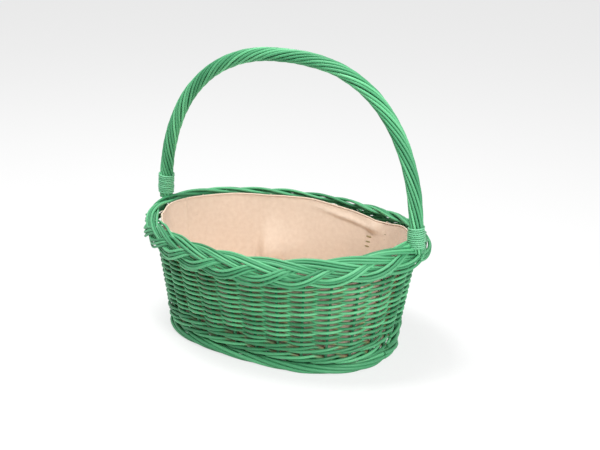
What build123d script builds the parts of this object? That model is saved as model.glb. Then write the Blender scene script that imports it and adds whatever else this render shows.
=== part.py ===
"""Oval willow basket with a roped bow handle, a plaited border and a cloth lining.

All sizes are in millimetres. X runs along the basket, Z is up, and the foot border stands on z = 0.
"""
from build123d import *
import math
import os
import numpy as np

os.makedirs("parts", exist_ok=True)

# ---- driving dimensions -------------------------------------------------------------------------
stake_count = 28            # even, so that a plain weave closes on itself
stake_diameter = 4.0
weaver_diameter = 3.2
weaver_pitch = 3.4          # height from one weaving row to the next
wale_rod_diameter = 4.0
clearance = 0.1             # between a rod and the stake or rod that it bends round

foot_half_length = 151.0    # wall of stakes where it leaves the foot
foot_half_width = 99.5
foot_exponent = 2.5         # superellipse exponent: 2 is an ellipse, more is squarer
rim_half_length = 178.5     # wall of stakes at the height of the rim
rim_half_width = 127.5
rim_exponent = 1.94
wall_foot_height = 14.2
wall_rim_height = 131.0
end_lift_low = 2.4          # the rim rises towards both ends, more at the +X end
end_lift_high = 13.6

first_row_height = 39.8
row_count = 26
first_wale_height = 19.6
wale_count = 2

plait_rod_diameter = 3.2
plait_rods_per_strand = 3
plait_half_length = 180.0   # inner top line of the plaited border
plait_half_width = 129.0
plait_top_height = 150.0
plait_middle = (12.7, -8.2)   # outward and upward from the inner top line to the band's middle
plait_lower = (13.9, -26.9)   # and to its lower edge
plait_wave = 3.6              # how far a strand swings out of the band
plait_chevrons = 22           # crossings seen round the rim; one more than a multiple of three

foot_rod_diameter = 6.2
foot_rope_turns = 6
foot_shave = 0.6            # worn flat under the foot

bow_half_span = 192.0
bow_spring_height = 148.0
bow_rise = 220.8
bow_exponent = 2.36
bow_lean = 8.4              # the crown leans towards +X
bow_core_diameter = 11.0
bow_spike_diameter = 4.0
bow_start_height = 158.0    # above the plait, where the core thins to its spike
rope_rod_diameter = 3.3
rope_rod_count = 12
rope_turns = 5.0
cane_diameter = 2.0
cane_turns = 7
cane_pitch = 2.3

base_stick_diameter = 5.0
base_height = 11.5
base_weaver_diameter = 3.4
base_ring_pitch = 7.6
base_straight_half = 50.0
base_first_radius = 12.0
base_ring_count = 11
short_stick_spacing = 25.0
short_stick_count = 5
long_stick_spacing = 14.0
long_stick_count = 3

cloth_thickness = 1.2
lining_gap = 5.7            # from the wall of stakes in to the cloth, past the weavers
lining_floor_height = 19.0
lining_rim_height = 146.0
lining_rim_inset = 5.4      # from the plait's inner top line
hem_diameter = 3.0
tack_count = 10
tack_thread_diameter = 0.9


# ---- outlines -----------------------------------------------------------------------------------
def oval_point(half_length, half_width, exponent, angle):
    """A point of a superellipse, as x and y."""
    c = math.cos(angle)
    s = math.sin(angle)
    x = math.copysign(half_length * abs(c) ** (2 / exponent), c)
    y = math.copysign(half_width * abs(s) ** (2 / exponent), s)
    return np.array([x, y])


def oval_by_length(half_length, half_width, exponent, samples=2880):
    """Cumulative share of the girth against angle, so that places can be spaced evenly."""
    angles = np.linspace(0, 2 * math.pi, samples + 1)
    points = np.array([oval_point(half_length, half_width, exponent, a) for a in angles])
    steps = np.linalg.norm(np.diff(points, axis=0), axis=1)
    share = np.concatenate([[0], np.cumsum(steps)]) / steps.sum()
    return share, angles


def place_on(half_length, half_width, exponent):
    """A function from a place, counted in stakes round the oval, to a point and its outward normal."""
    share, angles = oval_by_length(half_length, half_width, exponent)

    def place(stake):
        lap = (stake / stake_count) % 1.0
        angle = float(np.interp(lap, share, angles))
        point = oval_point(half_length, half_width, exponent, angle)
        step = 0.01
        ahead = oval_point(half_length, half_width, exponent, angle + step)
        behind = oval_point(half_length, half_width, exponent, angle - step)
        tangent = (ahead - behind) / np.linalg.norm(ahead - behind)
        return point, np.array([tangent[1], -tangent[0]])

    return place


def end_lift(x, half_length):
    """How far the rim stands above its lowest level, by how near the end of the basket is."""
    top = end_lift_high if x > 0 else end_lift_low
    return top * abs(x / half_length) ** 3


foot_place = place_on(foot_half_length, foot_half_width, foot_exponent)
rim_place = place_on(rim_half_length, rim_half_width, rim_exponent)


def stake_point(stake, height):
    """The middle of a stake at a height, with the rim's lift shared out from the foot upwards."""
    low, _ = foot_place(stake)
    high, _ = rim_place(stake)
    t = (height - wall_foot_height) / (wall_rim_height - wall_foot_height)
    x, y = low + (high - low) * t
    return np.array([x, y, height + t * end_lift(high[0], rim_half_length)])


def outward(stake):
    """Level direction that points out of the basket at a stake."""
    _, normal = rim_place(stake)
    return np.array([normal[0], normal[1], 0.0])


# ---- rods ---------------------------------------------------------------------------------------
def bends(points):
    """The turn and the bend radius at each inner point of a rod's route."""
    runs = np.diff(points, axis=0)
    lengths = np.linalg.norm(runs, axis=1)
    ways = runs / lengths[:, None]
    turns = np.arccos(np.clip((ways[:-1] * ways[1:]).sum(axis=1), -1, 1))
    shorter = np.minimum(lengths[:-1], lengths[1:])
    return turns, 0.45 * shorter / np.tan(turns / 2)


def rod(points, diameter):
    """A round rod along straight runs joined by tangent arcs."""
    points = np.array(points)
    _, radii = bends(points)
    path = FilletPolyline(*[tuple(p) for p in points], radius=[float(r) for r in radii])
    section = Plane(origin=path @ 0, z_dir=path % 0) * Circle(diameter / 2)
    return sweep(section, path=path)


def straight_rod(start, end, diameter):
    """A straight round rod between two points."""
    way = Vector(*end) - Vector(*start)
    section = Plane(origin=Vector(*start), z_dir=way) * Circle(diameter / 2)
    return extrude(section, amount=way.length)


def woven_rod(places, sides, heights, reach, diameter, end_gap=1.6):
    """A rod that bends round the stakes, once round the basket.

    places are counted in stakes, sides are +1 outside a stake, -1 inside and 0 between two,
    and reach is how far the rod's middle is from the stakes' middles at its furthest.
    """
    base = np.array([stake_point(p, h) for p, h in zip(places, heights)])
    out = np.array([outward(p) for p in places])
    sides = np.array(sides, dtype=float)
    offset = sides * reach
    for _ in range(12):
        points = base + out * offset[:, None]
        turns, radii = bends(points)
        sag = radii * (1 / np.cos(turns / 2) - 1)
        offset[1:-1] = sides[1:-1] * (reach + sag)
    points = base + out * offset[:, None]
    along = points[1] - points[0]
    points[0] += along / np.linalg.norm(along) * end_gap / 2
    along = points[-1] - points[-2]
    points[-1] -= along / np.linalg.norm(along) * end_gap / 2
    return rod(points, diameter)


def group(solids, name):
    """Write separate solids as one node."""
    export_step(Compound(children=[s for s in solids]), f"parts/{name}.step")


# ---- base ---------------------------------------------------------------------------------------
def base():
    """Oval base: long sticks threaded through short ones, with weaving rings above and below."""
    outer_radius = base_first_radius + (base_ring_count - 1) * base_ring_pitch
    reach = outer_radius + base_weaver_diameter / 2
    long_sticks = []
    for i in range(long_stick_count):
        y = (i - (long_stick_count - 1) / 2) * long_stick_spacing
        half = base_straight_half + math.sqrt(reach ** 2 - y ** 2)
        long_sticks.append(straight_rod((-half, y, base_height), (half, y, base_height),
                                        base_stick_diameter * 0.7))
    short_sticks = []
    for i in range(short_stick_count):
        x = (i - (short_stick_count - 1) / 2) * short_stick_spacing
        stick = straight_rod((x, -reach, base_height), (x, reach, base_height), base_stick_diameter)
        for j in range(long_stick_count):
            y = (j - (long_stick_count - 1) / 2) * long_stick_spacing
            hole = straight_rod((x - 9, y, base_height), (x + 9, y, base_height),
                                base_stick_diameter * 0.7 + 2 * clearance)
            stick = stick - hole
        short_sticks.append(stick)
    rings = []
    layer = base_stick_diameter / 2 + base_weaver_diameter / 2 + clearance
    for i in range(base_ring_count):
        radius = base_first_radius + i * base_ring_pitch
        for side in (-1, 1):
            shift = 0 if side < 0 else base_ring_pitch / 2
            if side > 0 and i == base_ring_count - 1:
                continue
            path = Wire(SlotCenterToCenter(2 * base_straight_half, 2 * (radius + shift)).wire())
            path = path.moved(Location((0, 0, base_height + side * layer)))
            section = Plane(origin=path @ 0, z_dir=path % 0) * Circle(base_weaver_diameter / 2)
            rings.append(sweep(section, path=path))
    group(long_sticks, "base_long_sticks")
    group(short_sticks, "base_short_sticks")
    group(rings, "base_weave")


# ---- foot border --------------------------------------------------------------------------------
def foot_border():
    """Three rods roped round each other under the wall, worn flat where the basket stands."""
    rope_radius = foot_rod_diameter / math.sqrt(3) + clearance
    middle = rope_radius + foot_rod_diameter / 2 - foot_shave
    points_per_turn = 8
    count = foot_rope_turns * points_per_turn
    floor = Box(500, 500, 20, align=(Align.CENTER, Align.CENTER, Align.MAX))
    for strand in range(3):
        points = []
        for i in range(count + 1):
            place, normal = foot_place(i * stake_count / count)
            angle = -math.pi / 2 + 2 * math.pi * (i / points_per_turn + strand / 3)
            sag = 1.12
            x, y = place + normal * rope_radius * sag * math.cos(angle)
            points.append((x, y, middle + rope_radius * sag * math.sin(angle)))
        first = np.array(points[0])
        last = np.array(points[-1])
        points[0] = tuple(first + (np.array(points[1]) - first) * 0.06)
        points[-1] = tuple(last + (np.array(points[-2]) - last) * 0.06)
        export_step(rod(points, foot_rod_diameter) - floor, f"parts/foot_border_rod_{strand + 1}.step")


# ---- wall ---------------------------------------------------------------------------------------
def stakes():
    """The upright stakes; the bow's two spikes stand in for the stakes at the ends."""
    sides = {"front": [], "back": [], "left": [], "right": []}
    quarter = stake_count // 4
    for stake in range(stake_count):
        if stake % (stake_count // 2) == 0:
            continue
        piece = straight_rod(stake_point(stake, wall_foot_height), stake_point(stake, wall_rim_height),
                             stake_diameter)
        side = ["right", "back", "left", "front"][int((stake + quarter / 2) // quarter) % 4]
        sides[side].append(piece)
    for side, pieces in sides.items():
        group(pieces, f"stakes_{side}")


def wales():
    """Rounds of three rods, each passing outside two stakes and inside the third."""
    reach = (stake_diameter + wale_rod_diameter) / 2 + clearance + 0.15
    step = wale_rod_diameter + clearance
    for wale in range(wale_count):
        middle = first_wale_height + wale * 3 * step
        for strand in range(3):
            places = []
            sides = []
            heights = []
            for stake in range(stake_count + 1):
                phase = (stake + strand) % 3
                places.append(stake)
                sides.append(-1 if phase == 0 else 1)
                heights.append(middle + (0, -step / 2, step / 2)[phase])
                if phase == 0 and stake < stake_count:
                    places.append(stake + 0.5)
                    sides.append(0)
                    heights.append(middle - step)
                if phase == 2 and stake < stake_count:
                    places.append(stake + 0.5)
                    sides.append(0)
                    heights.append(middle + step)
            piece = woven_rod(places, sides, heights, reach, wale_rod_diameter)
            export_step(piece, f"parts/wale_{wale + 1}_rod_{strand + 1}.step")


def weaver_rows():
    """Plain weave: each row passes outside and inside the stakes by turns, opposite to the last."""
    reach = (stake_diameter + weaver_diameter) / 2 + clearance + 0.1
    for row in range(row_count):
        start = (2 * ((5 * row) % (stake_count // 2)) + row) % stake_count
        places = [start + i for i in range(stake_count + 1)]
        sides = [-1 if i % 2 == 0 else 1 for i in range(stake_count + 1)]
        heights = [first_row_height + row * weaver_pitch] * len(places)
        piece = woven_rod(places, sides, heights, reach, weaver_diameter)
        export_step(piece, f"parts/weaver_row_{row + 1:02d}.step")


# ---- plaited border -----------------------------------------------------------------------------
plait_place = place_on(plait_half_length, plait_half_width, rim_exponent)


def band_point(across, out):
    """A point of the border band's section: across is -1 at its inner top edge and +1 at its lower."""
    middle = np.array(plait_middle)
    lower = np.array(plait_lower)
    centre = middle * (1 - across ** 2) + lower * across * (across + 1) / 2
    slope = -2 * across * middle + lower * (across + 0.5)
    normal = np.array([-slope[1], slope[0]]) / np.linalg.norm(slope)
    return centre + normal * out


def band_width():
    """Length of the band's section, from edge to edge."""
    points = [band_point(a, 0) for a in np.linspace(-1, 1, 41)]
    return sum(np.linalg.norm(q - p) for p, q in zip(points, points[1:]))


def plait_points(strand, rod_shift, width):
    """Route of one rod of a strand that plaits its way once round the rim."""
    reach = width / 2 - (plait_rods_per_strand - 1) / 2 * plait_rod_diameter
    points_per_wave = 9
    girth = math.pi * (plait_half_length + plait_half_width + 2 * plait_middle[0])
    wave_length = 3 * girth / plait_chevrons
    count = int(round(plait_chevrons / 3 * points_per_wave))
    points = []
    for i in range(count + 1):
        stake = i * stake_count / count
        phase = 2 * math.pi * (stake / stake_count * plait_chevrons / 3 + strand / 3 + 0.25)
        slope = reach * 2 * math.pi / wave_length * math.cos(phase)
        tilt = math.atan(slope)
        across = reach * math.sin(phase) + rod_shift * math.cos(tilt)
        along = -rod_shift * math.sin(tilt) * stake_count / girth
        out, up = band_point(across / (width / 2), -plait_wave * math.sin(2 * phase))
        place, normal = plait_place(stake + along)
        x, y = place + normal * out
        points.append((x, y, plait_top_height + up + end_lift(place[0], plait_half_length)))
    first = np.array(points[0])
    last = np.array(points[-1])
    points[0] = tuple(first + (np.array(points[1]) - first) * 0.06)
    points[-1] = tuple(last + (np.array(points[-2]) - last) * 0.06)
    return points


def plait():
    """Border of three strands, each of a few rods side by side, pierced by the bow's spikes."""
    width = band_width()
    spikes = [bow_spike(side, bow_spike_diameter + 4 * clearance) for side in (-1, 1)]
    for strand in range(3):
        rods = []
        for i in range(plait_rods_per_strand):
            shift = (i - (plait_rods_per_strand - 1) / 2) * (plait_rod_diameter + clearance)
            piece = rod(plait_points(strand, shift, width), plait_rod_diameter)
            for spike in spikes:
                piece = piece - spike
            rods.extend(piece.solids())
        group(rods, f"border_plait_strand_{strand + 1}")


# ---- bow handle ---------------------------------------------------------------------------------
def bow_point(t):
    """The bow's middle line, from the -X end at t = 0 over the crown to the +X end at t = 1."""
    angle = math.pi * (1 - t)
    c = math.cos(angle)
    s = abs(math.sin(angle))
    x = math.copysign(bow_half_span * abs(c) ** (2 / bow_exponent), c) + bow_lean * s ** 2
    return np.array([x, 0.0, bow_spring_height + bow_rise * s ** (2 / bow_exponent)])


def bow_by_length(samples=1200):
    """Points of the bow above its start height, with their distance along it."""
    points = np.array([bow_point(t) for t in np.linspace(0, 1, samples + 1)])
    points = points[points[:, 2] >= bow_start_height]
    steps = np.linalg.norm(np.diff(points, axis=0), axis=1)
    return points, np.concatenate([[0], np.cumsum(steps)])


bow_line, bow_distance = bow_by_length()
bow_length = float(bow_distance[-1])


def bow_frame(distance):
    """Point, and the direction that points out of the arch, at a distance along the bow."""
    def at(d):
        return np.array([np.interp(d, bow_distance, bow_line[:, k]) for k in range(3)])
    way = at(min(distance + 2, bow_length)) - at(max(distance - 2, 0))
    way /= np.linalg.norm(way)
    return at(distance), np.array([-way[2], 0.0, way[0]])


def round_the_bow(radius, start, length, turns, phase, steps):
    """Points of a coil round the bow."""
    points = []
    for i in range(steps + 1):
        share = i / steps
        centre, out = bow_frame(start + length * share)
        angle = phase + 2 * math.pi * turns * share
        points.append(centre + radius * (math.cos(angle) * out + math.sin(angle) * np.array([0.0, 1.0, 0.0])))
    return points


def bow_spike(side, diameter):
    """The pointed end of the bow that runs down through the border, where a stake would stand."""
    stake = 0 if side > 0 else stake_count // 2
    foot = stake_point(stake, wall_foot_height)
    rim = stake_point(stake, wall_rim_height)
    end, _ = bow_frame(bow_length - 1 if side > 0 else 1)
    shaft = straight_rod(foot, rim, diameter)
    neck = straight_rod(rim, end, diameter)
    knee = Pos(*rim) * Sphere(diameter / 2)
    return shaft + neck + knee


def handle():
    """Bow core with its spikes, the rods roped round it, and a cane binding at each end."""
    core_points = [bow_frame(bow_length * i / 22)[0] for i in range(23)]
    core = rod(core_points, bow_core_diameter)
    for side in (-1, 1):
        core = core + bow_spike(side, bow_spike_diameter)
    export_step(core, "parts/handle_core.step")
    radius = (bow_core_diameter + rope_rod_diameter) / 2 + 0.55
    rods = []
    for i in range(rope_rod_count):
        phase = 2 * math.pi * i / rope_rod_count
        rods.append(rod(round_the_bow(radius, 0, bow_length, rope_turns, phase, 44), rope_rod_diameter))
    group(rods, "handle_rope_rods")
    cane_radius = radius + (rope_rod_diameter + cane_diameter) / 2 + 0.75
    length = cane_turns * cane_pitch
    for name, start in (("left", 5.0), ("right", bow_length - length - 5.0)):
        points = round_the_bow(cane_radius, start, length, cane_turns, 0.4, cane_turns * 10)
        export_step(rod(points, cane_diameter), f"parts/handle_binding_{name}.step")


# ---- cloth lining -------------------------------------------------------------------------------
def oval_face(half_length, half_width, exponent, height, points=48):
    """A level oval face."""
    ring = []
    for i in range(points):
        x, y = oval_point(half_length, half_width, exponent, 2 * math.pi * (i + 0.5) / points)
        ring.append((x, y, height))
    return make_face(Polyline(*ring, close=True))


def lining():
    """Cup of cloth inside the wall: a tapered wall, a floor, a rolled hem and the tacks that hold it."""
    low = (foot_half_length - lining_gap, foot_half_width - lining_gap)
    high = (plait_half_length - lining_rim_inset, plait_half_width - lining_rim_inset)

    def cup(inset):
        bottom = oval_face(low[0] - inset, low[1] - inset, foot_exponent, lining_floor_height)
        top = oval_face(high[0] - inset, high[1] - inset, rim_exponent, lining_rim_height)
        return loft([bottom, top], ruled=True)

    export_step(cup(0) - cup(cloth_thickness), "parts/lining_wall.step")
    inset = cloth_thickness + 0.3
    floor = oval_face(low[0] - inset, low[1] - inset, foot_exponent, lining_floor_height)
    export_step(extrude(floor, amount=cloth_thickness), "parts/lining_floor.step")
    hem_height = lining_rim_height + hem_diameter / 2 + 0.2
    hem_place = place_on(high[0] - cloth_thickness / 2, high[1] - cloth_thickness / 2, rim_exponent)
    points = []
    for i in range(stake_count + 1):
        x, y = hem_place(i)[0]
        points.append((x, y, hem_height))
    points[0] = (points[0][0], 0.4, hem_height)
    points[-1] = (points[-1][0], -0.4, hem_height)
    export_step(rod(points, hem_diameter), "parts/lining_hem.step")
    tacks = []
    for i in range(tack_count):
        place, normal = hem_place((i + 0.5) * stake_count / tack_count)
        along = (-normal[1], normal[0], 0)
        plane = Plane(origin=(place[0], place[1], hem_height), z_dir=along)
        tacks.append(plane * Torus(hem_diameter / 2 + tack_thread_diameter / 2 + 0.5, tack_thread_diameter / 2))
    group(tacks, "lining_tacks")


base()
foot_border()
stakes()
wales()
weaver_rows()
plait()
handle()
lining()
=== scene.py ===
# %% [markdown]
# # A willow basket, stained green, with a roped bow and a cloth lining
# A willow basket is nothing but rods that bend round other rods. Blender's curves suit that: a rod
# is one line with a round bevel, and its radius can taper point by point. The frame from the CAD
# model comes first, because every rod has to lie where the model says.

# %% Load the frame
import math

import bmesh
import bpy
import numpy as np
from mathutils import Matrix, Vector


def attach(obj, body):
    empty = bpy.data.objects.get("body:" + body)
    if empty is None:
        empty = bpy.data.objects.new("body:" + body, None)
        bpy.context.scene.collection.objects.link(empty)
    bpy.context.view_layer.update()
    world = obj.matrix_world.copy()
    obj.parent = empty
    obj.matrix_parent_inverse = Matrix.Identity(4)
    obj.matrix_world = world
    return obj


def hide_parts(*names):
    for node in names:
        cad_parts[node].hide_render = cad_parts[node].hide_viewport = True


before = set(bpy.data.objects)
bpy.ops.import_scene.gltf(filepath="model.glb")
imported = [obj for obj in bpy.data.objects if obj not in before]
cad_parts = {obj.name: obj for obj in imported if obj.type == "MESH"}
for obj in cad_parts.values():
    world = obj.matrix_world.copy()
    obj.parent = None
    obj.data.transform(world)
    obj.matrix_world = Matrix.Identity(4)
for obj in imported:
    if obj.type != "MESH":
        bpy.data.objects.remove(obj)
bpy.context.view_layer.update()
scene = bpy.context.scene
MM = 0.001

# %% [markdown]
# The wall is a leaning oval. A superellipse gives its plan: with an exponent of 2 it is an ellipse,
# and above 2 it is squarer. The foot is squarer than the rim, as on a basket woven up from an oval
# base. Places round the wall are counted in stakes, which are spaced evenly along the girth.

# %% The oval wall
STAKES = 28
FOOT = (151.0 * MM, 99.5 * MM, 2.5)
RIM = (178.5 * MM, 127.5 * MM, 1.94)
PLAIT = (180.0 * MM, 129.0 * MM, 1.94)
FOOT_Z = 14.2 * MM
RIM_Z = 131.0 * MM
LIFT_LOW, LIFT_HIGH = 2.4 * MM, 13.6 * MM


def oval(shape, angle):
    """Points of a superellipse, one row for each angle."""
    a, b, n = shape
    c, s = np.cos(angle), np.sin(angle)
    return np.stack([a * np.sign(c) * np.abs(c) ** (2 / n), b * np.sign(s) * np.abs(s) ** (2 / n)], -1)


def placer(shape, samples=5760):
    """A function from places, counted in stakes, to points of the oval and its outward normals."""
    angles = np.linspace(0, 2 * np.pi, samples + 1)
    ring = oval(shape, angles)
    share = np.concatenate([[0], np.cumsum(np.linalg.norm(np.diff(ring, axis=0), axis=1))])
    share /= share[-1]

    def place(stake):
        angle = np.interp(np.asarray(stake, float) / STAKES % 1.0, share, angles)
        ahead, behind = oval(shape, angle + 0.01), oval(shape, angle - 0.01)
        way = (ahead - behind) / np.linalg.norm(ahead - behind, axis=-1, keepdims=True)
        return oval(shape, angle), np.stack([way[..., 1], -way[..., 0]], -1)

    return place


foot_place, rim_place, plait_place = placer(FOOT), placer(RIM), placer(PLAIT)


def end_lift(x, half_length):
    """The rim rises towards the ends, more at the +X end."""
    return np.where(x > 0, LIFT_HIGH, LIFT_LOW) * np.abs(x / half_length) ** 3


def wall(stake, height, out=0.0):
    """Points of the wall of stakes, moved outwards by out."""
    low, high = foot_place(stake)[0], rim_place(stake)[0]
    normal = rim_place(stake)[1]
    t = (np.asarray(height) - FOOT_Z) / (RIM_Z - FOOT_Z) + 0 * low[..., 0]
    flat = low + (high - low) * t[..., None] + normal * (np.asarray(out) + 0 * t)[..., None]
    return np.concatenate([flat, (height + t * end_lift(high[..., 0], RIM[0]))[..., None]], -1)


# %% [markdown]
# Each rod is a polyline with a bevel, turned into a mesh. The order of the bevel's vertices is known,
# so every vertex can carry where it is on its rod: `grain` holds its place across and along the rod,
# and `tone` holds how pale or dark that rod took the stain. The materials read both.

# %% A rod from a line
def rods(name, routes, sides=8):
    """One mesh object of many rods. routes holds (points, radii, tone, cover) for each rod."""
    curve = bpy.data.curves.new(name, "CURVE")
    curve.dimensions = "3D"
    curve.bevel_depth = 1.0
    curve.bevel_resolution = (sides - 4) // 2
    grain, tones, covers = [], [], []
    for number, (points, radii, tone, cover) in enumerate(routes):
        points = np.asarray(points, float)
        radii = np.broadcast_to(np.asarray(radii, float), (len(points),))
        cover = np.broadcast_to(np.asarray(cover, float), (len(points),))
        spline = curve.splines.new("POLY")
        spline.points.add(len(points) - 1)
        spline.points.foreach_set("co", np.c_[points, np.ones(len(points))].ravel())
        spline.points.foreach_set("radius", radii)
        along = np.concatenate([[0], np.cumsum(np.linalg.norm(np.diff(points, axis=0), axis=1))])
        turn = np.arange(sides) / sides * 2 * np.pi
        across = radii[:, None] * np.cos(turn)
        up = radii[:, None] * np.sin(turn)
        down = along[:, None] + 0.37 * number + 0 * across
        grain.append(np.stack([across, up, down], -1).reshape(-1, 3))
        tones.append(np.full(len(points) * sides, tone))
        covers.append(np.repeat(cover, sides))
    holder = bpy.data.objects.new(name + "_line", curve)
    scene.collection.objects.link(holder)
    mesh = bpy.data.meshes.new_from_object(holder)
    bpy.data.objects.remove(holder)
    grain, tones, covers = np.concatenate(grain), np.concatenate(tones), np.concatenate(covers)
    if len(mesh.vertices) != len(grain):
        raise ValueError(f"{name}: {len(mesh.vertices)} vertices, {len(grain)} expected")
    mesh.attributes.new("grain", "FLOAT_VECTOR", "POINT").data.foreach_set("vector", grain.ravel())
    mesh.attributes.new("tone", "FLOAT", "POINT").data.foreach_set("value", tones)
    mesh.attributes.new("cover", "FLOAT", "POINT").data.foreach_set("value", covers)
    shape = bmesh.new()
    shape.from_mesh(mesh)
    bmesh.ops.holes_fill(shape, edges=[e for e in shape.edges if e.is_boundary], sides=sides)
    bmesh.ops.recalc_face_normals(shape, faces=shape.faces[:])
    for face in shape.faces:
        face.smooth = len(face.verts) == 4
    shape.to_mesh(mesh)
    shape.free()
    mesh.name = name
    piece = bpy.data.objects.new(name, mesh)
    scene.collection.objects.link(piece)
    return piece


def wander(rng, count, size, waves=4):
    """A slow random drift of a given size along a rod."""
    s = np.linspace(0, 1, count)
    drift = sum(rng.normal() / (k + 1) * np.sin(2 * np.pi * (k + 1) * s + rng.uniform(0, 6.28))
                for k in range(waves))
    return size * drift


# %% [markdown]
# Stained willow is not one green. The stain is thin, so the grain shows through it in streaks; rods
# differ from each other; and where a rod dips behind a stake it was never reached and stays brown.
# One node group makes the streaks for every willow material.

# %% Node helpers and the streak group
def node(tree, kind, at=(0, 0), **values):
    """A shader node with its settings and input values filled in."""
    made = tree.nodes.new(kind)
    made.location = at
    for key, value in values.items():
        if key in made.inputs:
            made.inputs[key].default_value = value
        else:
            setattr(made, key, value)
    return made


def make_streaks():
    group = bpy.data.node_groups.new("willow_streaks", "ShaderNodeTree")
    group.interface.new_socket("Length", in_out="INPUT", socket_type="NodeSocketFloat")
    group.interface.new_socket("Streak", in_out="OUTPUT", socket_type="NodeSocketFloat")
    group.interface.new_socket("Blotch", in_out="OUTPUT", socket_type="NodeSocketFloat")
    group.interface.new_socket("Height", in_out="OUTPUT", socket_type="NodeSocketFloat")
    start = node(group, "NodeGroupInput")
    end = node(group, "NodeGroupOutput")
    place = node(group, "ShaderNodeAttribute", attribute_name="grain")
    scale = node(group, "ShaderNodeCombineXYZ", X=900.0, Y=900.0)
    stretch = node(group, "ShaderNodeVectorMath", operation="MULTIPLY")
    fine = node(group, "ShaderNodeTexNoise", Scale=1.0, Detail=3.0, Roughness=0.6)
    broad = node(group, "ShaderNodeTexNoise", Scale=38.0, Detail=2.0)
    total = node(group, "ShaderNodeMath", operation="MULTIPLY_ADD")
    total.inputs[1].default_value = 0.35
    link = group.links.new
    link(start.outputs["Length"], scale.inputs["Z"])
    link(place.outputs["Vector"], stretch.inputs[0])
    link(scale.outputs[0], stretch.inputs[1])
    link(stretch.outputs[0], fine.inputs["Vector"])
    link(place.outputs["Vector"], broad.inputs["Vector"])
    link(fine.outputs["Fac"], end.inputs["Streak"])
    link(broad.outputs["Fac"], end.inputs["Blotch"])
    link(broad.outputs["Fac"], total.inputs[0])
    link(fine.outputs["Fac"], total.inputs[2])
    link(total.outputs[0], end.inputs["Height"])
    return group


streaks = make_streaks()
print("node group", streaks.name)

# %% [markdown]
# A thin stain is two greens of one hue, and the streaks choose between them. Each rod's own tone moves
# it as a whole towards the pale or the dark one, and where its cover is low the bare wood comes
# through in blotches. Weaving, border, bow, stakes and cane differ only in these colours and shares.

# %% Willow materials
def willow(name, pale, deep, bare=(0.36, 0.24, 0.12), bare_share=0.5, roughness=0.5, length=40.0):
    """Stained willow: pale and deep are the stain's two greens, bare is the wood under it."""
    material = bpy.data.materials.new(name)
    material.use_nodes = True
    tree = material.node_tree
    link = tree.links.new
    shader = tree.nodes["Principled BSDF"]
    grain = node(tree, "ShaderNodeGroup", (-900, 0), node_tree=streaks)
    grain.inputs["Length"].default_value = length
    tone = node(tree, "ShaderNodeAttribute", (-900, 300), attribute_name="tone")
    cover = node(tree, "ShaderNodeAttribute", (-900, 500), attribute_name="cover")
    mixed = node(tree, "ShaderNodeMath", (-700, 200), operation="MULTIPLY_ADD")
    mixed.inputs[1].default_value = 0.55
    link(grain.outputs["Streak"], mixed.inputs[0])
    link(tone.outputs["Fac"], mixed.inputs[2])
    green = node(tree, "ShaderNodeMapRange", (-500, 200))
    green.inputs["From Min"].default_value = 0.1
    green.inputs["From Max"].default_value = 1.25
    link(mixed.outputs[0], green.inputs["Value"])
    stain = node(tree, "ShaderNodeMix", (-300, 200), data_type="RGBA")
    stain.inputs["A"].default_value = (*deep, 1)
    stain.inputs["B"].default_value = (*pale, 1)
    link(green.outputs[0], stain.inputs["Factor"])
    worn = node(tree, "ShaderNodeMath", (-700, 500), operation="MULTIPLY_ADD")
    worn.inputs[1].default_value = 0.9
    link(grain.outputs["Blotch"], worn.inputs[0])
    link(cover.outputs["Fac"], worn.inputs[2])
    mask = node(tree, "ShaderNodeMapRange", (-500, 500))
    mask.inputs["From Min"].default_value = 0.88
    mask.inputs["From Max"].default_value = 0.55
    mask.inputs["To Max"].default_value = bare_share
    link(worn.outputs[0], mask.inputs["Value"])
    colour = node(tree, "ShaderNodeMix", (-100, 300), data_type="RGBA")
    colour.inputs["B"].default_value = (*bare, 1)
    link(mask.outputs[0], colour.inputs["Factor"])
    link(stain.outputs["Result"], colour.inputs["A"])
    link(colour.outputs["Result"], shader.inputs["Base Color"])
    rough = node(tree, "ShaderNodeMapRange", (-300, -100))
    rough.inputs["To Min"].default_value = roughness - 0.1
    rough.inputs["To Max"].default_value = roughness + 0.18
    link(grain.outputs["Streak"], rough.inputs["Value"])
    link(rough.outputs[0], shader.inputs["Roughness"])
    bump = node(tree, "ShaderNodeBump", (-300, -300), Strength=0.35, Distance=0.0004)
    link(grain.outputs["Height"], bump.inputs["Height"])
    link(bump.outputs[0], shader.inputs["Normal"])
    return material


PALE, DEEP = (0.115, 0.47, 0.215), (0.012, 0.155, 0.055)
weave_willow = willow("green_weaving_willow", PALE, DEEP, bare_share=0.85)
border_willow = willow("green_border_willow", (0.13, 0.50, 0.235), (0.015, 0.18, 0.068), bare_share=0.3)
bow_willow = willow("green_bow_willow", (0.13, 0.50, 0.235), (0.015, 0.19, 0.07), bare_share=0.15)
# The stakes and the bow's core take darker greens than the woven rods: painted shade for the shadow in
# the gaps where they show.
stake_willow = willow("green_willow_painted_shade", (0.05, 0.24, 0.11), (0.015, 0.11, 0.05), bare_share=0.3)
cane = willow("green_cane", (0.16, 0.50, 0.27), (0.05, 0.30, 0.14), bare_share=0.5, roughness=0.4)


def dress(piece, material, slot, *nodes):
    """Give a finished piece its material, its body and the nodes that it stands for. The slot is not
    used.
    """
    piece.data.materials.clear()
    piece.data.materials.append(material)
    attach(piece, "root")
    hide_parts(*nodes)
    print(piece.name, len(piece.data.polygons), "faces")


# %% [markdown]
# Plain weave. A row runs outside one stake and inside the next, and the row above does the
# opposite. A rod reaches about a third of the way round, so every row is three rods, each with a
# thick butt end and a thin tip, and their ends are tucked in behind a stake. A plain sine would make
# every rod a soft snake, so the wave is a flattened cosine: long over a stake, quick between two.

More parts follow.
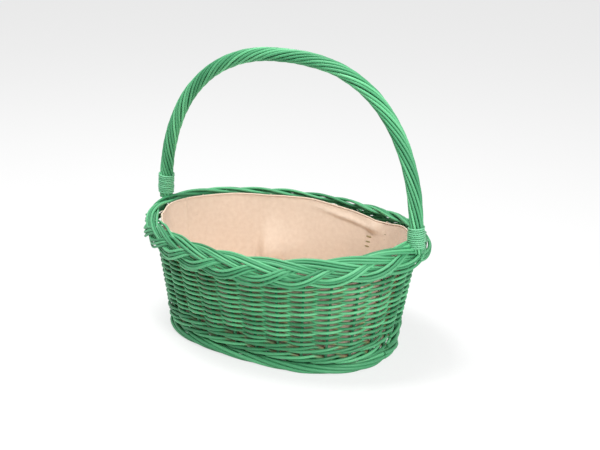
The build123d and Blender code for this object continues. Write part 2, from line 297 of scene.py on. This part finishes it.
# %% Weaving rows
WEAVER = 1.72 * MM
STROKE_SWELL = 0.38 * MM     # rods are pressed flat where they cross and stand full over a stake
STROKE_SLANT = 0.5 * MM
STAKE = 2.0 * MM
ROWS = 26
FIRST_ROW, ROW_PITCH = 39.8 * MM, 3.4 * MM
SAMPLES = 8


def wave(s):
    """How far out a plain-woven rod is between stakes, from -1 inside to +1 outside."""
    c = np.cos(np.pi * s)
    return np.sign(c) * np.abs(c) ** 0.85


for row in range(ROWS):
    rng = np.random.default_rng(100 + row)
    start = 2 * int(rng.integers(0, STAKES // 2)) + row % 2 + 1
    breaks = sorted({0, int(rng.integers(4, 7)) * 2, int(rng.integers(8, 12)) * 2, STAKES})
    routes = []
    for first, last in zip(breaks, breaks[1:]):
        count = (last - first) * SAMPLES + 1
        s = np.linspace(first - 0.1, last + 0.1, count)
        stake = s + start
        out = (WEAVER + STAKE + 0.1 * MM) * wave(stake + row)
        height = FIRST_ROW + row * ROW_PITCH + wander(rng, count, 0.22 * MM)
        height = height + STROKE_SLANT * np.sin(np.pi * (stake + row))
        radius = WEAVER * (1.05 - 0.16 * np.linspace(0, 1, count)) + wander(rng, count, 0.04 * MM, 6)
        radius = radius + STROKE_SWELL * np.abs(wave(stake + row)) ** 2
        cover = 0.5 + 0.5 * wave(stake + row)
        routes.append((wall(stake, height, out), radius, rng.uniform(0, 1) ** 1.2, cover))
    name = f"weaver_row_{row + 1:02d}"
    dress(rods(f"woven_{name}", routes), weave_willow, "woven_willow", name)

# %% [markdown]
# The stakes are the posts of the wall. Only a dark dot of each shows between the strokes, and their
# darker green is painted shade.

# %% Stakes
SIDES = ("right", "back", "left", "front")
for number, side in enumerate(SIDES):
    routes = []
    for stake in range(STAKES):
        if stake % (STAKES // 2) == 0 or int((stake + STAKES / 8) // (STAKES / 4)) % 4 != number:
            continue
        heights = np.linspace(FOOT_Z, RIM_Z, 12)
        radii = STAKE * np.linspace(1.0, 0.85, 12)
        routes.append((wall(np.full(12, float(stake)), heights), radii, 0.4, 0.7))
    dress(rods(f"posts_{side}", routes), stake_willow, "stake_willow", f"stakes_{side}")

# %% [markdown]
# A wale locks the bottom of the wall: three rods travel together, each outside two stakes and then
# inside one, so from outside they read as long slanting strokes.

# %% Wales
WALE = 2.0 * MM
WALE_STEP = 4.1 * MM
FIRST_WALE = 19.6 * MM
WALE_OUT = np.array([-1.0, 0.1, 0.95, 1.1, 0.95, 0.1, -1.0])
WALE_UP = np.array([0.0, -1.0, -0.55, 0.0, 0.55, 1.0, 0.0])
for number in range(2):
    rng = np.random.default_rng(300 + number)
    middle = FIRST_WALE + number * 3 * WALE_STEP
    for strand in range(3):
        count = STAKES * SAMPLES + 1
        s = np.linspace(0, STAKES, count)
        phase = (s + strand) % 3
        out = np.interp(phase, [0, 0.5, 1, 1.5, 2, 2.5, 3], WALE_OUT) * (WALE + STAKE + 0.2 * MM)
        height = middle + np.interp(phase, [0, 0.5, 1, 1.5, 2, 2.5, 3], WALE_UP) * WALE_STEP
        height = height + wander(rng, count, 0.25 * MM)
        cover = np.interp(phase, [0, 0.5, 1, 2, 2.5, 3], [0, 0.4, 1, 1, 0.4, 0])
        keep = slice(1, -1)
        route = (wall(s, height, out)[keep], WALE * 1.02, rng.uniform(0.1, 0.9), cover[keep])
        name = f"wale_{number + 1}_rod_{strand + 1}"
        dress(rods(f"slanted_{name}", [route]), weave_willow, "woven_willow", name)

# %% [markdown]
# The foot border is a rope of five rods laid round the bottom, worn flat where it stands. Each rod
# circles a middle line while it travels round the foot, and no point of it goes below the floor.

# %% Foot border
FOOT_ROD = 2.45 * MM
FOOT_REACH = 4.1 * MM
FOOT_RODS, FOOT_TURNS = 5, 3.6
FOOT_MIDDLE = 6.3 * MM
rng = np.random.default_rng(400)
routes = []
for rod_number in range(FOOT_RODS):
    s = np.linspace(0.02, STAKES - 0.02, 360)
    place, normal = foot_place(s)
    angle = -np.pi / 2 - 2 * np.pi * (FOOT_TURNS * s / STAKES + rod_number / FOOT_RODS)
    angle = angle + wander(rng, len(s), 0.10, 12)
    reach = FOOT_REACH + wander(rng, len(s), 0.25 * MM, 14)
    flat = place + normal * (reach * np.cos(angle))[:, None]
    height = np.maximum(FOOT_MIDDLE + reach * np.sin(angle), FOOT_ROD)
    radius = FOOT_ROD * 0.97 + wander(rng, len(s), 0.08 * MM, 9)
    routes.append((np.c_[flat, height], radius, rng.uniform(0.1, 0.9), 0.6 + 0.4 * np.cos(angle)))
dress(rods("roped_foot", routes, 10), border_willow, "border_willow",
      *[f"foot_border_rod_{number + 1}" for number in range(3)])

# %% [markdown]
# The plaited border is the basket's crown. Five strands cross over and under, and each strand is
# three rods lying side by side, so from outside the border reads as a row of chevrons. A strand
# swings across a curved band that wraps the rim from its inner top line to below its outer edge.

# %% Plaited border
PLAIT_TOP = 150.0 * MM
PLAIT_MIDDLE = np.array([12.7, -8.2]) * MM
PLAIT_LOWER = np.array([13.9, -26.9]) * MM
PLAIT_ROD = 1.75 * MM
PLAIT_WAVE = 2.8 * MM
PLAIT_WIDTH = 35.0 * MM
PLAIT_CHEVRONS = 22
PLAIT_STRANDS = 5
PLAIT_RODS = 3
PLAIT_DWELL = 0.3          # the downward strokes are longer than the upward ones


def band(across, out):
    """Points of the border's curved section, outward and up from its inner top line."""
    a = across[:, None]
    centre = PLAIT_MIDDLE * (1 - a ** 2) + PLAIT_LOWER * a * (a + 1) / 2
    slope = -2 * a * PLAIT_MIDDLE + PLAIT_LOWER * (a + 0.5)
    normal = np.stack([-slope[:, 1], slope[:, 0]], -1) / np.linalg.norm(slope, axis=1, keepdims=True)
    return centre + normal * out[:, None]


def plait_rod(rng, strand, shift):
    """Line, radii, tone and cover of one rod of a strand."""
    reach = PLAIT_WIDTH / 2 - (PLAIT_RODS - 1) / 2 * PLAIT_ROD * 2
    girth = math.pi * (PLAIT[0] + PLAIT[1] + 2 * PLAIT_MIDDLE[0])
    s = np.linspace(0, STAKES, 420)
    phase = 2 * np.pi * (s / STAKES * PLAIT_CHEVRONS / PLAIT_STRANDS + strand / PLAIT_STRANDS + 0.25)
    phase = phase - PLAIT_DWELL * (1 + np.sin(phase))
    slope = reach * 2 * np.pi / (PLAIT_STRANDS * girth / PLAIT_CHEVRONS) * np.cos(phase)
    tilt = np.arctan(slope)
    across = reach * np.sin(phase) + shift * np.cos(tilt) + wander(rng, len(s), 0.5 * MM, 16)
    along = -shift * np.sin(tilt) * STAKES / girth
    out = -PLAIT_WAVE * np.sin(2 * phase) + wander(rng, len(s), 0.5 * MM, 18)
    section = band(np.clip(across / (PLAIT_WIDTH / 2), -1.02, 1.02), out)
    place, normal = plait_place(s + along)
    flat = place + normal * section[:, :1]
    height = PLAIT_TOP + section[:, 1] + end_lift(place[:, 0], PLAIT[0])
    radius = PLAIT_ROD + wander(rng, len(s), 0.1 * MM, 9)
    return np.c_[flat, height], radius, rng.uniform(0.0, 1.0), 0.75 - 0.25 * np.sin(2 * phase)


rng = np.random.default_rng(500)
routes = [plait_rod(rng, strand, (number - (PLAIT_RODS - 1) / 2) * PLAIT_ROD * 2.05)
          for strand in range(PLAIT_STRANDS) for number in range(PLAIT_RODS)]
dress(rods("plaited_border", routes), border_willow, "border_willow",
      *[f"border_plait_strand_{strand + 1}" for strand in range(3)])

# %% [markdown]
# The bow is a thick core with a skin of thin rods laid round it in a long spiral, like a rope. Each
# end is lashed to the border with split cane. Every rod of the skin is a coil round one shared middle
# line, which is half of a superellipse that leans a little to one side.

# %% Bow
BOW_SPAN, BOW_SPRING, BOW_RISE = 192.0 * MM, 148.0 * MM, 220.8 * MM
BOW_EXPONENT, BOW_LEAN = 2.36, 8.4 * MM
BOW_START = 152.0 * MM
ROPE_ROD = 1.75 * MM
ROPE_RADIUS = 7.15 * MM
BOW_STEP = 2.0 * MM

t = np.linspace(0, 1, 1601)
c, s = np.cos(np.pi * (1 - t)), np.sin(np.pi * (1 - t))
bow_line = np.c_[BOW_SPAN * np.sign(c) * np.abs(c) ** (2 / BOW_EXPONENT) + BOW_LEAN * s ** 2, 0 * t,
                 BOW_SPRING + BOW_RISE * np.abs(s) ** (2 / BOW_EXPONENT)]
bow_line = bow_line[bow_line[:, 2] >= BOW_START]
bow_along = np.concatenate([[0], np.cumsum(np.linalg.norm(np.diff(bow_line, axis=0), axis=1))])
bow_length = bow_along[-1]
print(f"bow, measured along its middle line: {bow_length:.3f} m")


def bow_point(distance):
    """Points of the bow's middle line at distances measured along it."""
    return np.stack([np.interp(distance, bow_along, bow_line[:, k]) for k in range(3)], -1)


def bow(distance):
    """Points of the bow's middle line, and the direction that points out of the arch."""
    ahead = bow_point(np.minimum(distance + BOW_STEP, bow_length))
    way = ahead - bow_point(np.maximum(distance - BOW_STEP, 0))
    way /= np.linalg.norm(way, axis=1, keepdims=True)
    return bow_point(distance), np.stack([-way[:, 2], 0 * way[:, 0], way[:, 0]], -1)


def coil(radius, distance, angle):
    """Points round the bow at given distances and angles."""
    centre, out = bow(distance)
    across = np.array([0.0, 1.0, 0.0])
    return centre + (radius * np.cos(angle))[:, None] * out + (radius * np.sin(angle))[:, None] * across


# %% Roped skin
ROPE_RODS = 11
ROPE_TURNS, ROPE_SLACKENS = 5.6, 1.5     # the lay is tighter where the rope begins
rng = np.random.default_rng(600)
routes = []
for number in range(ROPE_RODS):
    d = np.linspace(0, bow_length, 260)
    share = d / bow_length
    turns = ROPE_TURNS * share - ROPE_SLACKENS * share ** 2
    angle = 2 * np.pi * (turns + number / ROPE_RODS) + wander(rng, len(d), 0.035, 8)
    radius = ROPE_RADIUS + wander(rng, len(d), 0.12 * MM, 9)
    thick = ROPE_ROD + wander(rng, len(d), 0.09 * MM, 7)
    routes.append((coil(radius, d, angle), thick, rng.uniform(0, 1), 0.8))
dress(rods("bow_rope", routes), bow_willow, "bow_willow", "handle_rope_rods")

# %% Core of the bow
CORE = 5.4 * MM
core_line = bow_point(np.linspace(0, bow_length, 80))
core = [(core_line, CORE, 0.3, 0.8)]
for side, end in ((0, core_line[-1]), (STAKES // 2, core_line[0])):
    heights = np.linspace(FOOT_Z, RIM_Z, 12)
    post = wall(np.full(12, float(side)), heights)
    core.append((np.r_[post, [end]], STAKE, 0.3, 0.8))
# The core takes the same darker greens: painted shade where it shows in the gaps of the rope.
dress(rods("bow_core", core, 12), stake_willow, "bow_willow", "handle_core")

# %% Cane bindings
CANE = 1.15 * MM
CANE_TURNS = 10.5
BINDING_START, BINDING_LENGTH = 6.0 * MM, 27.0 * MM
for name, first, way in (("left", BINDING_START, 1), ("right", bow_length - BINDING_START, -1)):
    count = 420
    share = np.linspace(0, 1, count)
    angle = 2 * np.pi * CANE_TURNS * share
    radius = ROPE_RADIUS + ROPE_ROD + CANE * 0.7 + wander(rng, count, 0.3 * MM, 14)
    points = coil(radius, first + way * BINDING_LENGTH * share, angle)
    dress(rods(f"cane_binding_{name}", [(points, CANE, 0.8, 0.7)]), cane, "binding_cane",
          f"handle_binding_{name}")

# %% [markdown]
# Under the lining, the base shows only from below, so the CAD pieces keep their own shape and take
# the willow stain from object coordinates.

# %% Base
def plain_stain(name, pale, deep):
    """Stained willow for a piece without rod attributes, with streaks from object coordinates."""
    material = bpy.data.materials.new(name)
    material.use_nodes = True
    tree = material.node_tree
    shader = tree.nodes["Principled BSDF"]
    place = node(tree, "ShaderNodeTexCoord")
    noise = node(tree, "ShaderNodeTexNoise", Scale=260.0, Detail=4.0)
    mixed = node(tree, "ShaderNodeMix", data_type="RGBA")
    mixed.inputs["A"].default_value = (*deep, 1)
    mixed.inputs["B"].default_value = (*pale, 1)
    bump = node(tree, "ShaderNodeBump", Strength=0.3, Distance=0.0004)
    tree.links.new(place.outputs["Object"], noise.inputs["Vector"])
    tree.links.new(noise.outputs["Fac"], mixed.inputs["Factor"])
    tree.links.new(mixed.outputs["Result"], shader.inputs["Base Color"])
    tree.links.new(noise.outputs["Fac"], bump.inputs["Height"])
    tree.links.new(bump.outputs[0], shader.inputs["Normal"])
    shader.inputs["Roughness"].default_value = 0.6
    return material


base_stain = plain_stain("green_base_willow", (0.12, 0.42, 0.22), (0.03, 0.20, 0.09))
for name in ("base_long_sticks", "base_short_sticks", "base_weave"):
    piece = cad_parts[name]
    piece.data.materials.clear()
    piece.data.materials.append(base_stain)
    print(name, "stained", len(piece.data.polygons), "faces")

# %% [markdown]
# The lining is a strip of thin cotton sewn into a cup. It hangs from tacks at the rim, so between
# them it sags, and it is a little too long for the wall, so it lies in soft upright folds.

# %% Cloth material
def cloth(name, colour, shade):
    """Plain-woven cotton, with the threads from the piece's own UV map."""
    material = bpy.data.materials.new(name)
    material.use_nodes = True
    tree = material.node_tree
    link = tree.links.new
    shader = tree.nodes["Principled BSDF"]
    place = node(tree, "ShaderNodeUVMap", uv_map="cloth")
    warp = node(tree, "ShaderNodeTexWave", bands_direction="X", Scale=900.0, Distortion=0.6)
    weft = node(tree, "ShaderNodeTexWave", bands_direction="Y", Scale=900.0, Distortion=0.6)
    slub = node(tree, "ShaderNodeTexNoise", Scale=160.0, Detail=4.0)
    woven = node(tree, "ShaderNodeMath", operation="ADD")
    tint = node(tree, "ShaderNodeMix", data_type="RGBA")
    tint.inputs["A"].default_value = (*shade, 1)
    tint.inputs["B"].default_value = (*colour, 1)
    bump = node(tree, "ShaderNodeBump", Strength=0.25, Distance=0.0003)
    for texture in (warp, weft, slub):
        link(place.outputs["UV"], texture.inputs["Vector"])
    link(warp.outputs["Fac"], woven.inputs[0])
    link(weft.outputs["Fac"], woven.inputs[1])
    link(slub.outputs["Fac"], tint.inputs["Factor"])
    link(tint.outputs["Result"], shader.inputs["Base Color"])
    link(woven.outputs[0], bump.inputs["Height"])
    link(bump.outputs[0], shader.inputs["Normal"])
    shader.inputs["Roughness"].default_value = 0.9
    shader.inputs["Sheen Weight"].default_value = 0.15
    return material


cotton = cloth("undyed_cotton", (0.80, 0.655, 0.53), (0.66, 0.50, 0.38))

# %% [markdown]
# The wall of the lining could be simulated, but a cup this tight has nowhere to fall. So a grid is
# bent into the cup and displaced in code: shallow upright folds all round, one deep crease where the
# cloth is caught, a seam, and a pinch and a tuck where its edge sags. Solidify gives its thickness.

# %% Lining wall
LINING_LOW = (145.3 * MM, 93.8 * MM, 2.5)
LINING_HIGH = (176.5 * MM, 125.5 * MM, 1.94)
LINING_Z = (19.5 * MM, 146.0 * MM)
low_place, high_place = placer(LINING_LOW), placer(LINING_HIGH)
rng = np.random.default_rng(700)
AROUND, UP = 420, 56
fold_phase = rng.uniform(0, 2 * np.pi, 6)


CREASE_DEPTH = 14.0 * MM


def bell(x, width):
    """A smooth hump, 1 at x = 0."""
    return np.exp(-(x / width) ** 2)


def sag(stake):
    """How far the cloth's top edge drops below the rim: between tacks, and most at the rear right."""
    between = 1.4 * MM * (0.5 - 0.5 * np.cos(2 * np.pi * 10 * np.asarray(stake) / STAKES))
    return between + 7.5 * MM * bell(stake - 5.0, 1.5)


def folds(stake, t):
    """How far the cloth stands in from the wall."""
    lap = 2 * np.pi * stake / STAKES
    waves = sum(np.sin((7 + 5 * k) * lap + fold_phase[k] + (1.6 - 0.6 * k) * t) / (1 + 0.5 * k)
                for k in range(6))
    crease_at = stake - 9.9 - 0.5 * (0.6 - t)
    fall = np.where(crease_at > 0, bell(crease_at, 0.32), bell(crease_at, 1.3))
    crease = CREASE_DEPTH * fall * bell(t - 0.40, 0.24)
    seam = 0.9 * MM * bell(stake - 13.5 - 0.5 * (1 - t), 0.05)
    pinch = 4.0 * MM * bell(stake - 4.9, 0.35) * bell(t - 0.93, 0.06)
    tuck = 2.6 * MM * bell(t - 0.90 - 0.012 * (stake - 5.0), 0.025) * bell(stake - 6.2, 1.3)
    drape = np.maximum((0.62 * waves + 1.5) * (0.45 + 0.55 * t), 0.5) * MM
    return drape + crease + seam + pinch + tuck


def lining_point(stake, t):
    """Point of the cloth: t is 0 at the floor and 1 at the rim."""
    low, high = low_place(stake)[0], high_place(stake)[0]
    normal = high_place(stake)[1]
    lift = end_lift(high[..., 0], LINING_HIGH[0]) * 0.8
    flat = low + (high - low) * t[..., None] - normal * folds(stake, t)[..., None]
    height = LINING_Z[0] + (LINING_Z[1] + lift - sag(stake) - LINING_Z[0]) * t
    return np.concatenate([flat, height[..., None]], -1)


def cloth_grid(name, around, up, point, size):
    """A grid sheet, closed round itself, with a UV map in metres called cloth."""
    shape = bmesh.new()
    bmesh.ops.create_grid(shape, x_segments=around, y_segments=up, size=0.5)
    layer = shape.loops.layers.uv.new("cloth")
    u = np.array([v.co.x + 0.5 for v in shape.verts])
    v = np.array([v.co.y + 0.5 for v in shape.verts])
    for face in shape.faces:
        face.smooth = True
        for loop in face.loops:
            loop[layer].uv = ((loop.vert.co.x + 0.5) * size[0], (loop.vert.co.y + 0.5) * size[1])
    where = point(u * STAKES * (1 - 1e-9), v)
    for vert, co in zip(shape.verts, where):
        vert.co = co
    bmesh.ops.remove_doubles(shape, verts=shape.verts[:], dist=1e-5)
    bmesh.ops.recalc_face_normals(shape, faces=shape.faces[:])
    mesh = bpy.data.meshes.new(name)
    shape.to_mesh(mesh)
    shape.free()
    piece = bpy.data.objects.new(name, mesh)
    scene.collection.objects.link(piece)
    return piece


CLOTH = 0.7 * MM
cup = cloth_grid("lining_cloth_wall", AROUND, UP, lining_point, (0.93, 0.132))
thick = cup.modifiers.new("thickness", "SOLIDIFY")
thick.thickness = CLOTH
thick.offset = 0.0
dress(cup, cotton, "lining_cloth", "lining_wall")

# %% [markdown]
# The cloth's top edge is rolled over into a thin hem, which follows the same edge as the cup, and a
# few loops of thread tack it to the border.

# %% Hem
count = 700
s = np.linspace(0.02, STAKES - 0.02, count)
hem_line = lining_point(s, np.ones(count))
hem_line[:, 2] += 0.6 * MM
hem = rods("rolled_hem", [(hem_line, 1.15 * MM + wander(rng, count, 0.08 * MM, 20), 0.5, 1.0)])
uv = hem.data.uv_layers[0]
uv.name = "cloth"
dress(hem, cotton, "lining_cloth", "lining_hem")

# %% Tacks
TACKS = 10
routes = []
for number in range(TACKS):
    stake = (number + 0.5) * STAKES / TACKS
    centre = lining_point(np.array([stake]), np.array([1.0]))[0]
    normal = high_place(np.array([stake]))[1][0]
    turn = np.linspace(0, 2 * np.pi * 0.97, 22)
    out = np.outer(np.cos(turn) * 2.2 * MM + 1.2 * MM, [normal[0], normal[1], 0])
    routes.append((centre + out + np.outer(np.sin(turn) * 2.4 * MM, [0, 0, 1]), 0.4 * MM, 0.5, 1.0))
tacks = rods("hem_tacks", routes, 6)
tacks.data.uv_layers[0].name = "cloth"
dress(tacks, cotton, "tack_thread", "lining_tacks")

# %% [markdown]
# The floor of the lining is an oval piece that lies on the base. The same grid makes it, with one of
# its sides drawn together in the middle.

# %% Lining floor
FLOOR_SHARE = 0.985          # the floor stops just short of the wall cloth
BILLOW = 0.9 * MM


def floor_point(stake, r):
    """Point of the floor cloth, from its middle at r = 0 to its edge at r = 1, with a slight billow."""
    edge, _ = low_place(stake)
    flat = edge * (r * FLOOR_SHARE)[..., None]
    billow = BILLOW * np.sin(90 * flat[..., 0] + 1) * np.sin(75 * flat[..., 1]) * (1 - r)
    height = LINING_Z[0] + BILLOW + billow
    return np.concatenate([flat, height[..., None]], -1)


floor_cloth = cloth_grid("lining_cloth_floor", 120, 30, floor_point, (0.3, 0.2))
thick = floor_cloth.modifiers.new("thickness", "SOLIDIFY")
thick.thickness = CLOTH
dress(floor_cloth, cotton, "lining_cloth", "lining_floor")

# %% [markdown]
# A plain pale floor and wide, soft lamps, so that the colours render about as they are written. The
# white surround comes from what the camera ray sees, not from more light on the basket.

# %% Stage floor
FLOOR_GLOW = 0.72            # how much of the floor's look is plain white to the camera


def stage_floor():
    """A wide pale floor that still takes the basket's shadow."""
    shape = bmesh.new()
    bmesh.ops.create_grid(shape, x_segments=1, y_segments=1, size=6.0)
    mesh = bpy.data.meshes.new("studio_floor")
    shape.to_mesh(mesh)
    shape.free()
    piece = bpy.data.objects.new("studio_floor", mesh)
    scene.collection.objects.link(piece)
    material = bpy.data.materials.new("pale_floor")
    material.use_nodes = True
    shader = material.node_tree.nodes["Principled BSDF"]
    shader.inputs["Base Color"].default_value = (0.93, 0.93, 0.93, 1)
    shader.inputs["Roughness"].default_value = 1.0
    shader.inputs["Specular IOR Level"].default_value = 0.0
    tree = material.node_tree
    path = node(tree, "ShaderNodeLightPath")
    glow = node(tree, "ShaderNodeEmission", Color=(1, 1, 1, 1), Strength=1.0)
    share = node(tree, "ShaderNodeMath", operation="MULTIPLY")
    share.inputs[1].default_value = FLOOR_GLOW
    blend = node(tree, "ShaderNodeMixShader")
    tree.links.new(path.outputs["Is Camera Ray"], share.inputs[0])
    tree.links.new(share.outputs[0], blend.inputs[0])
    tree.links.new(shader.outputs[0], blend.inputs[1])
    tree.links.new(glow.outputs[0], blend.inputs[2])
    tree.links.new(blend.outputs[0], tree.nodes["Material Output"].inputs["Surface"])
    mesh.materials.append(material)


stage_floor()

# %% World
WORLD_LIGHT = 0.3
world = bpy.data.worlds.new("studio")
scene.world = world
world.use_nodes = True
sky = world.node_tree
plain = sky.nodes["Background"]
plain.inputs["Color"].default_value = (1, 1, 1, 1)
plain.inputs["Strength"].default_value = WORLD_LIGHT
seen = node(sky, "ShaderNodeBackground", Color=(1, 1, 1, 1), Strength=1.0)
path = node(sky, "ShaderNodeLightPath")
straight = node(sky, "ShaderNodeMath", operation="MAXIMUM")
any_view = node(sky, "ShaderNodeMath", operation="MAXIMUM")
blend = node(sky, "ShaderNodeMixShader")
sky.links.new(path.outputs["Is Camera Ray"], straight.inputs[0])
sky.links.new(path.outputs["Is Glossy Ray"], straight.inputs[1])
sky.links.new(straight.outputs[0], any_view.inputs[0])
sky.links.new(path.outputs["Is Transmission Ray"], any_view.inputs[1])
sky.links.new(any_view.outputs[0], blend.inputs[0])
sky.links.new(plain.outputs[0], blend.inputs[1])
sky.links.new(seen.outputs[0], blend.inputs[2])
sky.links.new(blend.outputs[0], sky.nodes["World Output"].inputs["Surface"])


# %% Lamps
def lamp(name, place, size, power):
    """A square soft lamp that points at the basket."""
    light = bpy.data.lights.new(name, "AREA")
    light.size = size
    light.energy = power
    piece = bpy.data.objects.new(name, light)
    piece.location = place
    piece.rotation_euler = (Vector((0, 0, 0.15)) - Vector(place)).to_track_quat("-Z", "Y").to_euler()
    scene.collection.objects.link(piece)
    print("lamp", name, power, "W")


lamp("key", (-0.35, -0.25, 1.7), 0.6, 27.0)
lamp("fill", (1.4, -0.7, 0.9), 0.6, 22.0)

# %% [markdown]
# The camera looks a little down on the basket from the right of its long side, with a long lens, so
# that the oval is hardly drawn out of shape. Its axes are built from three angles and one target.

# %% Camera
AZIMUTH, ELEVATION, ROLL = math.radians(33.0), math.radians(18.67), math.radians(0.95)
TARGET = Vector((25.15, 0.05, 154.08)) * MM
DISTANCE = 1624.2 * MM
back = Vector((math.sin(AZIMUTH) * math.cos(ELEVATION), -math.cos(AZIMUTH) * math.cos(ELEVATION),
               math.sin(ELEVATION)))
level = (-back).cross(Vector((0, 0, 1))).normalized()
above = level.cross(-back)
right = level * math.cos(ROLL) + above * math.sin(ROLL)
up = above * math.cos(ROLL) - level * math.sin(ROLL)
lens = bpy.data.cameras.new("camera")
lens.lens = 76.75
lens.sensor_width = 36.0
camera = bpy.data.objects.new("camera", lens)
place = TARGET + back * DISTANCE
camera.matrix_world = Matrix((
    (right.x, up.x, back.x, place.x),
    (right.y, up.y, back.y, place.y),
    (right.z, up.z, back.z, place.z),
    (0, 0, 0, 1)))
scene.collection.objects.link(camera)
scene.camera = camera
scene.view_settings.view_transform = "Standard"
